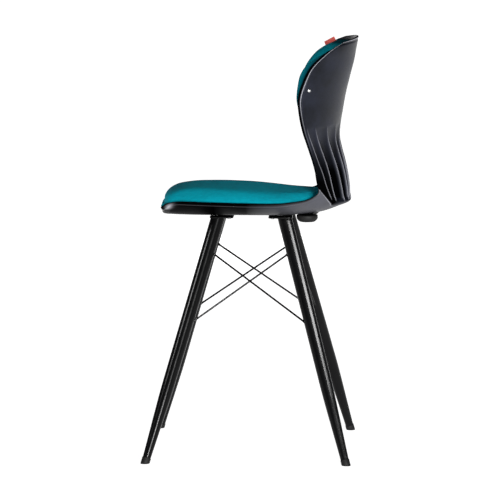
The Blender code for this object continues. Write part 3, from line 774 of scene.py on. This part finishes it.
def puffed(piece, rim, cap):
    """Lets the cloth swell a little inside its held rim, evenly and by no more than a cap."""
    count = len(piece.data.vertices)
    rest = np.empty(count * 3, np.float32)
    piece.data.vertices.foreach_get("co", rest)
    group = piece.vertex_groups.new(name="held")
    held = np.concatenate((np.nonzero(rim.ravel())[0], np.arange(rim.size, count)))
    group.add([int(k) for k in held], 1.0, "REPLACE")
    cloth = piece.modifiers.new("cloth", "CLOTH")
    cloth.settings.use_pressure = True
    cloth.settings.uniform_pressure_force = PRESSURE
    cloth.settings.vertex_group_mass = group.name
    cloth.settings.effector_weights.gravity = 0
    cloth.settings.quality = 4
    for step in range(1, PUFF_STEPS + 1):
        bpy.context.scene.frame_set(step)
    drawn = piece.evaluated_get(bpy.context.evaluated_depsgraph_get())
    swollen = np.empty(count * 3, np.float32)
    drawn.data.vertices.foreach_get("co", swollen)
    move = (swollen - rest).reshape(-1, 3)
    length = np.linalg.norm(move, axis=1, keepdims=True)
    move *= np.minimum(1, cap / np.maximum(length, 1e-9))
    calm = move[:rim.size].reshape(*rim.shape, 3)
    for _ in range(CALM_ROUNDS):
        ringed = np.pad(calm, ((1, 1), (1, 1), (0, 0)), mode="edge")
        calm = (ringed[:-2, 1:-1] + ringed[2:, 1:-1] + ringed[1:-1, :-2] + ringed[1:-1, 2:]) / 4
        calm[rim] = 0
    move[:rim.size] = calm.reshape(-1, 3)
    piece.modifiers.remove(cloth)
    piece.vertex_groups.remove(group)
    piece.data.vertices.foreach_set("co", (rest.reshape(-1, 3) + move).astype(np.float32).ravel())
    piece.data.update()
    bpy.context.scene.frame_set(1)


def finer(piece):
    """Rounds a piece by one step of subdivision."""
    pick(piece)
    fine = piece.modifiers.new("fine", "SUBSURF")
    fine.levels = 1
    fine.render_levels = 1
    bpy.ops.object.modifier_apply(modifier=fine.name)
    bpy.ops.object.shade_smooth()


def ribbed(tree, along, pitch):
    """Even ribs along a direction."""
    return worked_out(tree, "SINE", worked_out(tree, "MULTIPLY", along, 2 * math.pi / pitch))


teal_cloth, tree, shader, place = new_finish("teal wool cloth")
threads = wired(tree, "ShaderNodeUVMap").outputs["UV"]
split = wired(tree, "ShaderNodeSeparateXYZ", {"Vector": threads})
warp = ribbed(tree, split.outputs["X"], THREAD)
weft = ribbed(tree, split.outputs["Y"], THREAD)
weave = worked_out(tree, "MULTIPLY", warp, weft)
fuzz = mottle(tree, place, Scale=1600, Detail=3, Roughness=0.7)
slub = mottle(tree, place, Scale=90, Detail=5, Roughness=0.65)
relief = worked_out(tree, "MULTIPLY_ADD", weave, 0.25, fuzz)
melange = worked_out(tree, "MULTIPLY", slub, ranged(tree, relief, 0.2, 0.8, 0.55, 1.1))
dyed = blend_of(tree, TEAL_DEEP, TEAL_BRIGHT, ranged(tree, melange, 0.2, 0.75, 0, 1))
# Painted shade darkens the cloth towards its edges and all over its back.
tree.links.new(blend_of(tree, dyed, TEAL_SHADE, toned(tree, "painted_edge_shade")), shader.inputs["Base Color"])
shader.inputs["Roughness"].default_value = 0.88
shader.inputs["Sheen Weight"].default_value = 0.008
shader.inputs["Sheen Roughness"].default_value = 0.4
shader.inputs["Sheen Tint"].default_value = TEAL_SHEEN
shader.inputs["Specular IOR Level"].default_value = 0.03
bumped(tree, shader, 0.35, 0.0004, relief)


def pad_grid(rows, columns):
    """Places along and across a pad, from -1 to 1, and how near each is to the pad's edge."""
    s = np.broadcast_to(eased(rows)[:, None], (rows, columns))
    t = np.broadcast_to(eased(columns)[None, :], (rows, columns))
    return s, t, np.maximum(np.abs(s), np.abs(t))


def rolled(outward, power):
    """Share of a pad's full height, which falls off round its edge."""
    return np.sqrt(np.clip(1 - outward**power, 0, 1))


def cushion(name, front, back, painted_edge_shade):
    """Closed pad of cloth between a front and a back, with painted shade towards its edge and all over
    its back.
    """
    made = sheet_grid(name, *front.shape[:2])
    shape_grid(made, front, back)
    lay_weave(made, front)
    shade = made.data.attributes.new("painted_edge_shade", "FLOAT", "POINT")
    shade.data.foreach_set("value", np.concatenate((painted_edge_shade.ravel(), np.ones(painted_edge_shade.size))).astype(np.float32))
    made.data.materials.clear()
    made.data.materials.append(teal_cloth)
    return made


s, t, outward = pad_grid(SEAT_ROWS, SEAT_COLUMNS)
u, v = SEAT_FROM + (SEAT_TO - SEAT_FROM) * (s + 1) / 2, t * SEAT_SHARE
seat_base = over_shell(u, v, np.full(s.shape, FOAM_BASE))
edge_z = (BELLY + shell_line(u)[..., RIM_Z]) * MM + SEAT_EDGE
crown_z = (BELLY + from_table(SEAT_CROWN, u)) * MM
height = edge_z + (crown_z - edge_z) * (1 - np.abs(t) ** SEAT_SWELL) - seat_base[..., 2]
lift = np.maximum(height, SEAT_LEAST) * rolled(outward, SEAT_ROUND)
lift = np.maximum(lift - SEAT_PUFF * rolled(outward, SEAT_ROUND), 0)
lean = np.stack((np.zeros_like(s), -from_table(SEAT_LEAN, u), np.ones_like(s)), -1)
seat_front = seat_base + np.array((0, 0, HEM)) + lean * lift[..., None]
overhang = hump(s, ROLL_AT, ROLL_W) * (1 - np.abs(t) ** ROLL_ENDS) * np.clip((s + 1) / ROLL_EASE, 0, 1)
seat_front[..., 1] -= FRONT_ROLL * overhang
tuck = np.interp(outward, (0.8, 0.97), (FOAM_BASE, SEAT_TUCK))
tuck += CORNER_LIFT * np.clip((s + np.abs(t) - CORNER_FROM) / CORNER_EASE, 0, 1)
seat_back = over_shell(u, v, tuck + lip_height(u, v))
# Painted shade on the cloth's last sliver, where it turns under the lip.
seat_edge_shade = np.interp(outward, (0.95, 1), (0, 0.8))
seat_pad = cushion("seat_cushion", seat_front, seat_back, seat_edge_shade)
puffed(seat_pad, outward > HELD_FROM, SEAT_PUFF + PUFF_SPARE)
finer(seat_pad)
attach(seat_pad, "root")
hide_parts("seat_cover", "seat_foam")

# Back pad: an even cushion that follows the back's curve, thicker towards the top, with its rounded
# edge standing a little proud of the shell's lip.
BACK_ROWS, BACK_COLUMNS = 81, 109
BACK_FROM, BACK_TO = 15.2, 22.8
BACK_REACH = ((15, 0.82), (18.5, 0.97), (20, 0.99), (21.5, 0.985), (22.3, 0.94), (23.2, 0.85))
BACK_EDGE = (
    (15, 0.012),
    (17, 0.013),
    (18, 0.020),
    (19, 0.0275),
    (20.3, 0.037),
    (21.2, 0.026),
    (22, 0.013),
    (22.8, 0.009),
)
BACK_SWELL, BACK_PUFF, BACK_TUCK = 0.006, 0.004, 0.0030
BACK_FULL, FULL_AT, FULL_W = 0.010, 20.95, 0.7
BACK_ROUND, BACK_PUFF_ROUND = 12, 16
s, t, outward = pad_grid(BACK_ROWS, BACK_COLUMNS)
u = BACK_FROM + (BACK_TO - BACK_FROM) * (s + 1) / 2
v = t * from_table(BACK_REACH, u)
fuller = BACK_FULL * hump(u, FULL_AT, FULL_W) * np.clip(t, 0, 1) ** 2
swell = (from_table(BACK_EDGE, u) + fuller) * rolled(outward, BACK_ROUND)
swell = swell + BACK_SWELL * (1 - s * s) * (1 - t * t)
swell = np.maximum(swell - BACK_PUFF * rolled(outward, BACK_PUFF_ROUND), 0)
lean = shell_inward(u, v) + np.array((0, -1, 0))
lean /= np.linalg.norm(lean, axis=-1, keepdims=True)
back_front = over_shell(u, v, np.full(s.shape, FOAM_BASE + HEM)) + lean * swell[..., None]
back_back = over_shell(u, v, np.interp(outward, (0.95, 0.99), (FOAM_BASE, BACK_TUCK)))
# Painted shade towards the cloth's edge and over the top, where it turns into the shell.
back_edge_shade = np.interp(outward, (0.84, 0.96, 1), (0, 0.45, 1))
back_edge_shade = np.maximum(back_edge_shade, np.interp(u, (21.6, 22.3), (0, 1)))
back_pad = cushion("back_cushion", back_front, back_back, back_edge_shade)
puffed(back_pad, outward > HELD_FROM, BACK_PUFF + PUFF_SPARE)
finer(back_pad)
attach(back_pad, "root")
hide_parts("back_cover", "back_foam")

# Rivets: small domed heads of bright steel near the rim of the back, one on each side. They are set
# through the shell and hold the back pad's board.
RIVET_U, RIVET_V, RIVET_FACETS = 19.6, 0.925, 36
RIVET_RINGS = (
    (0.0006, -0.0026),
    (0.0020, -0.0024),
    (0.0033, -0.0018),
    (0.0042, -0.0009),
    (0.0045, 0),
    (0.0022, 0.0001),
    (0.0022, 0.004),
)
RIVET_GREY, RIVET_BRIGHT = (0.60, 0.60, 0.60), (0.80, 0.80, 0.80)
rivet_steel, tree, shader, place = new_finish("bright rivet steel")
turned_marks = mottle(tree, place, Scale=900, Detail=3)
tree.links.new(blend_of(tree, RIVET_GREY, RIVET_BRIGHT, turned_marks), shader.inputs["Base Color"])
tree.links.new(ranged(tree, turned_marks, 0.3, 0.7, 0.22, 0.36), shader.inputs["Roughness"])
shader.inputs["Metallic"].default_value = 1
for side, sign in SIDES.items():
    at = Vector(shell_face(np.array(RIVET_U), np.array(sign * RIVET_V)))
    into_shell = Vector(shell_inward(np.array(RIVET_U), np.array(sign * RIVET_V)))
    rivet = raised(f"dome_rivet_{side}", RIVET_RINGS, RIVET_FACETS)
    stood(rivet, at, at + into_shell)
    smoothed(rivet, 50)
    rivet.data.materials.append(rivet_steel)
    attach(rivet, "root")
    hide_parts(f"back_rivet_{side}")

# Label tab: a short blank red ribbon, woven and folded over, with both ends caught in the seam at the
# back pad's top corner.
TAB_ROWS, TAB_COLUMNS = 25, 17
TAB_SUNK, TAB_LOOP, TAB_WAVE, TAB_HALF_T = 0.002, 0.36, 0.0006, 0.00016
RIBBON_DEEP, RIBBON_BRIGHT = (0.45, 0.030, 0.022), (0.72, 0.09, 0.06)
# The three sides of the plain tab, from one of its corners, give the ribbon its place.
solid_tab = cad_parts["label_tab"].data
corners = {tuple(round(x, 6) for x in vertex.co) for vertex in solid_tab.vertices}
corners = [Vector(c) for c in corners]
first = min(corners, key=lambda c: (c.y, c.z, c.x))
arms = sorted((c - first for c in corners if c != first), key=lambda a: a.length)
thick = arms[0]
deep = next(a for a in arms if abs(a.normalized().dot(thick.normalized())) < 0.01)
square = [a for a in arms if abs(a.dot(thick)) < 1e-7 and abs(a.dot(deep)) < 1e-6]
long = next(a for a in square if a.length > deep.length)
tab_middle = first + (thick + deep + long) / 2
pad_middle = Vector(back_front[BACK_ROWS // 2, BACK_COLUMNS // 2])
out_of_seam = deep.normalized()
if out_of_seam.dot(tab_middle - pad_middle) < 0:
    out_of_seam = -out_of_seam
loop_r = thick.length * TAB_LOOP
straight = deep.length - loop_r + TAB_SUNK
bend = math.pi * loop_r
path = []
for f in np.linspace(0, 1, TAB_ROWS):
    run = f * (2 * straight + bend)
    if run < straight:
        path.append((run - TAB_SUNK, -loop_r))
    elif run < straight + bend:
        turn = (run - straight) / loop_r
        path.append((straight - TAB_SUNK + loop_r * math.sin(turn), -loop_r * math.cos(turn)))
    else:
        path.append((2 * straight + bend - run - TAB_SUNK, loop_r))
seam = tab_middle - out_of_seam * deep.length / 2
tab_front = np.empty((TAB_ROWS, TAB_COLUMNS, 3))
for i, (reach, offset) in enumerate(path):
    for j in range(TAB_COLUMNS):
        step = j / (TAB_COLUMNS - 1)
        wave = TAB_WAVE * math.sin(step * 4.2 + 0.6) * max(reach, 0) / deep.length
        across = (step - 0.5) * long.length
        from_seam = seam + out_of_seam * reach + thick.normalized() * (offset + wave)
        tab_front[i, j] = from_seam + long.normalized() * across
ribbon_normal = np.cross(np.gradient(tab_front, axis=1), np.gradient(tab_front, axis=0))
ribbon_normal /= np.linalg.norm(ribbon_normal, axis=-1, keepdims=True)
tab = sheet_grid("blank_tab", TAB_ROWS, TAB_COLUMNS)
shape_grid(tab, tab_front + ribbon_normal * TAB_HALF_T, tab_front - ribbon_normal * TAB_HALF_T)
pick(tab)
bpy.ops.object.mode_set(mode="EDIT")
bpy.ops.mesh.select_all(action="SELECT")
bpy.ops.mesh.normals_make_consistent(inside=False)
bpy.ops.object.mode_set(mode="OBJECT")
finer(tab)
ribbon, tree, shader, place = new_finish("red ribbon")
fade = mottle(tree, place, Scale=70, Detail=3)
tree.links.new(blend_of(tree, RIBBON_DEEP, RIBBON_BRIGHT, fade), shader.inputs["Base Color"])
shader.inputs["Roughness"].default_value = 0.75
shader.inputs["Sheen Weight"].default_value = 0.2
bumped(tree, shader, 0.3, 0.0003, mottle(tree, place, Scale=1500, Detail=3))
tab.data.materials.clear()
tab.data.materials.append(ribbon)
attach(tab, "root")
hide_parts("label_tab")

# Studio: a pale floor that glows a little, a low broad key from the camera's side and soft fills from
# the front, the rear and the far side. The front fill reaches only shell and pads, and two strips only
# the leg tubes. The surround is dim, but white where the camera sees past the floor.
FLOOR_SIZE, FLOOR_Z, FLOOR_GLOW = 160, -0.0002, 0.95
FLOOR_GREY, FLOOR_PALE = (0.88, 0.88, 0.88), (0.91, 0.91, 0.91)
KEY_SPREAD = math.radians(12)
STRIP_AIM, STRIP_TALL = (0.14, 0, 0.3), 0.45
LEG_STRIPS = (("front", (1.41, -2.56, 1.76), 46, 0.65), ("rear", (1.745, 2.316, 1.82), 300, 2.3))
SURROUND_DIM, SURROUND_SEEN = 0.03, 1
bpy.ops.object.select_all(action="DESELECT")
bpy.ops.mesh.primitive_plane_add(size=FLOOR_SIZE, location=(0, 0, FLOOR_Z))
floor = bpy.context.object
floor.name = "studio_floor"
bpy.ops.object.transform_apply(location=True, rotation=True, scale=True)
pale, tree, shader, place = new_finish("pale studio floor")
haze = mottle(tree, place, Scale=1.5, Detail=2)
tree.links.new(blend_of(tree, FLOOR_GREY, FLOOR_PALE, haze), shader.inputs["Base Color"])
shader.inputs["Roughness"].default_value = 0.9
shader.inputs["Specular IOR Level"].default_value = 0.1
shader.inputs["Emission Color"].default_value = (1, 1, 1, 1)
shader.inputs["Emission Strength"].default_value = FLOOR_GLOW
floor.data.materials.append(pale)


def lamp(name, kind, aim_from, aim_at, power):
    """Lamp at a place, turned to what it lights."""
    made = bpy.data.objects.new(name, bpy.data.lights.new(name, kind))
    bpy.context.scene.collection.objects.link(made)
    made.location = aim_from
    made.rotation_euler = (Vector(aim_at) - Vector(aim_from)).to_track_quat("-Z", "Y").to_euler()
    made.data.energy = power
    return made


def soft_box(name, aim_from, aim_at, power, wide, tall):
    """Oblong lamp of a width and a height."""
    made = lamp(name, "AREA", aim_from, aim_at, power)
    made.data.shape = "RECTANGLE"
    made.data.size = wide
    made.data.size_y = tall
    return made


def lights_only(made, label, pieces):
    """Keeps a lamp's light to some pieces."""
    made.light_linking.receiver_collection = bpy.data.collections.new(label)
    for piece in pieces:
        made.light_linking.receiver_collection.objects.link(piece)


key = lamp("low_key", "SUN", (6, 1.6, 0.86), (0, 0, 0.5), 7.6)
key.data.angle = KEY_SPREAD
front_fill = soft_box("front_fill", (2.3, -2.2, 1.4), (0, 0, 0.7), 18, 2.6, 2.0)
lights_only(front_fill, "shell_and_pads", (shell, seat_pad, back_pad))
soft_box("far_fill", (-3.6, -1.2, 0.45), (0, 0, 0.6), 20, 2.4, 1.6)
for end, at, power, wide in LEG_STRIPS:
    strip = soft_box(f"{end}_leg_strip", at, STRIP_AIM, power, wide, STRIP_TALL)
    tubes = [bpy.data.objects[f"tube_leg_{end}_{side}"] for side in SIDES]
    lights_only(strip, f"{end}_tubes", tubes)
soft_box("rear_box", (2.2, 2.6, 0.8), (0, 0.1, 0.7), 2, 1.0, 1.6)
surround = bpy.data.worlds.new("studio surround")
bpy.context.scene.world = surround
surround.use_nodes = True
tree = surround.node_tree
glow = tree.nodes["Background"]
glow.inputs["Color"].default_value = (1, 1, 1, 1)
beyond_floor = wired(tree, "ShaderNodeLightPath").outputs["Is Camera Ray"]
tree.links.new(ranged(tree, beyond_floor, 0, 1, SURROUND_DIM, SURROUND_SEEN), glow.inputs["Strength"])
bpy.context.scene.view_settings.view_transform = "Standard"
